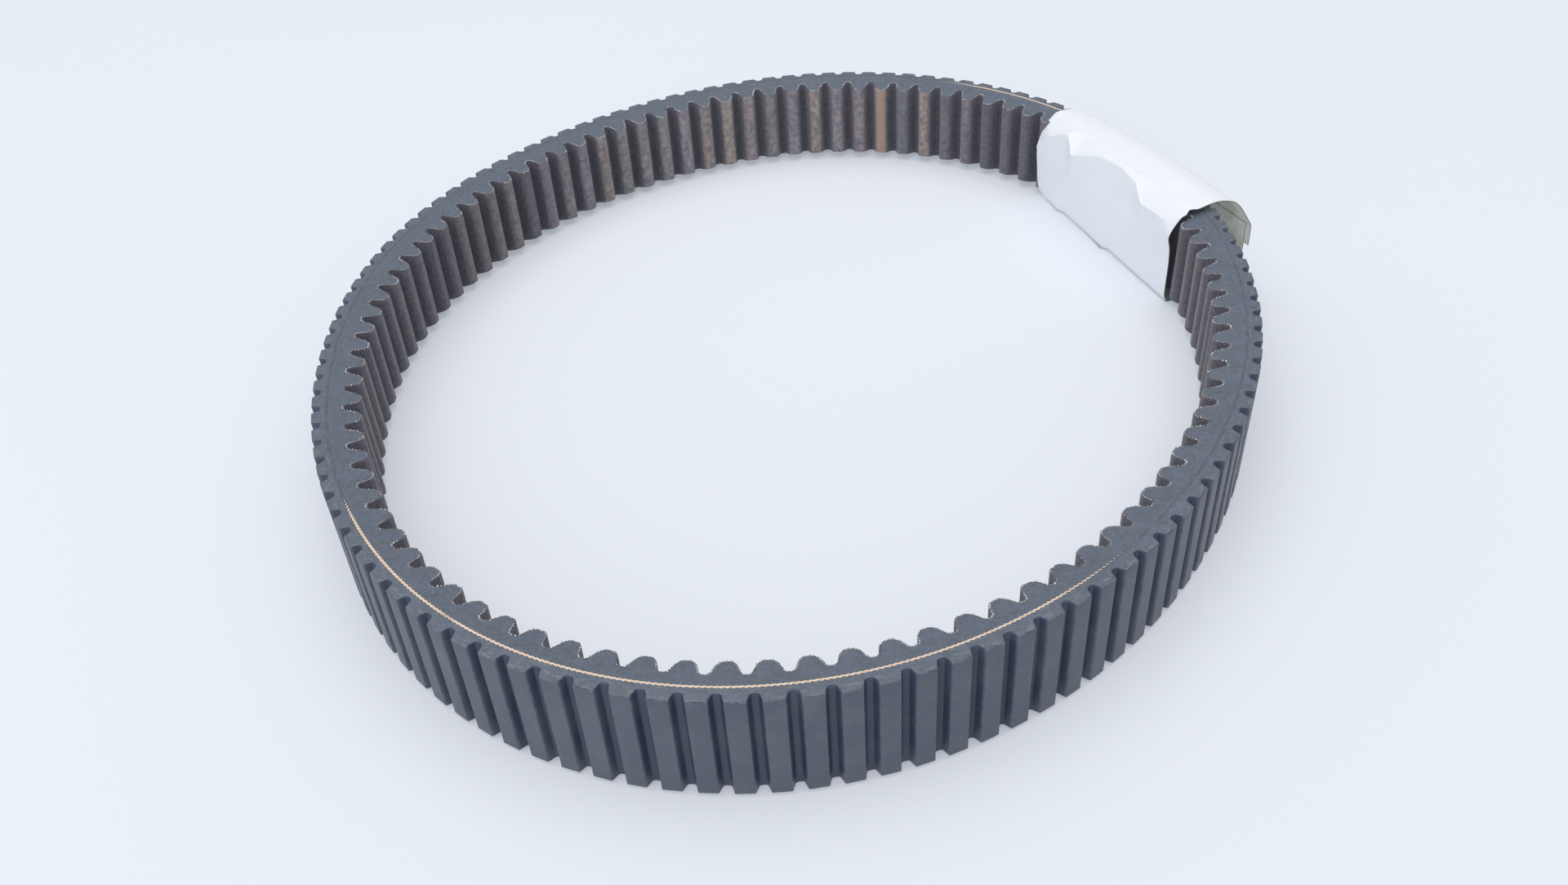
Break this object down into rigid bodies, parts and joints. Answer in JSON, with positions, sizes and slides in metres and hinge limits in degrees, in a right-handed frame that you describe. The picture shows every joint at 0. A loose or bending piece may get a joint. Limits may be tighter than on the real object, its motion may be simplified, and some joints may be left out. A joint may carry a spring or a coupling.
{
  "type": "double-cogged variable-speed drive belt",
  "caption": "Endless vee drive belt with tall rounded cogs inside and flat-topped cogs outside, lying on its side, with a loose card sleeve wrapped round it.",
  "frame": {"origin": "middle of the bounding box, at the level of the sleeve's underside, which is the lowest point", "axes": "+Z is the belt's width and the loop's axis, so the belt lies on its side; +Y is the loop's longer way; +X completes it, with the sleeve on the +X side"},
  "size_m": [0.3406, 0.3792, 0.0398],
  "materials": {
    "outer_rubber": "matte slate-black rubber with the print of a fine diagonal weave on the lands and fine ribs in the grooves",
    "cushion_rubber": "matte ground rubber",
    "cord_yarn": "twisted tan yarn",
    "cog_rubber": "matte ground rubber with fine buffing marks",
    "cog_cloth": "rubberised bias-woven cloth, worn lighter on the crests",
    "white_card": "smooth white card, creased",
    "clear_tape": "clear glossy tape"
  },
  "bodies": {
    "belt": {"overcord_rubber": "outer_rubber", "upper_cushion": "cushion_rubber", "tension_cord": "cord_yarn", "lower_cushion": "cushion_rubber", "cog_rubber": "cog_rubber", "cog_fabric": "cog_cloth"},
    "sleeve": {"sleeve_card": "white_card", "sleeve_tape": "clear_tape"}
  },
  "joints": [
    {"name": "sleeve_slide", "type": "hinge", "parent": "belt", "child": "sleeve", "pos_m": [-0.03758, 0.02134, 0.019], "axis": [0, 0, 1], "range_deg": [-32, 3]}
  ]
}
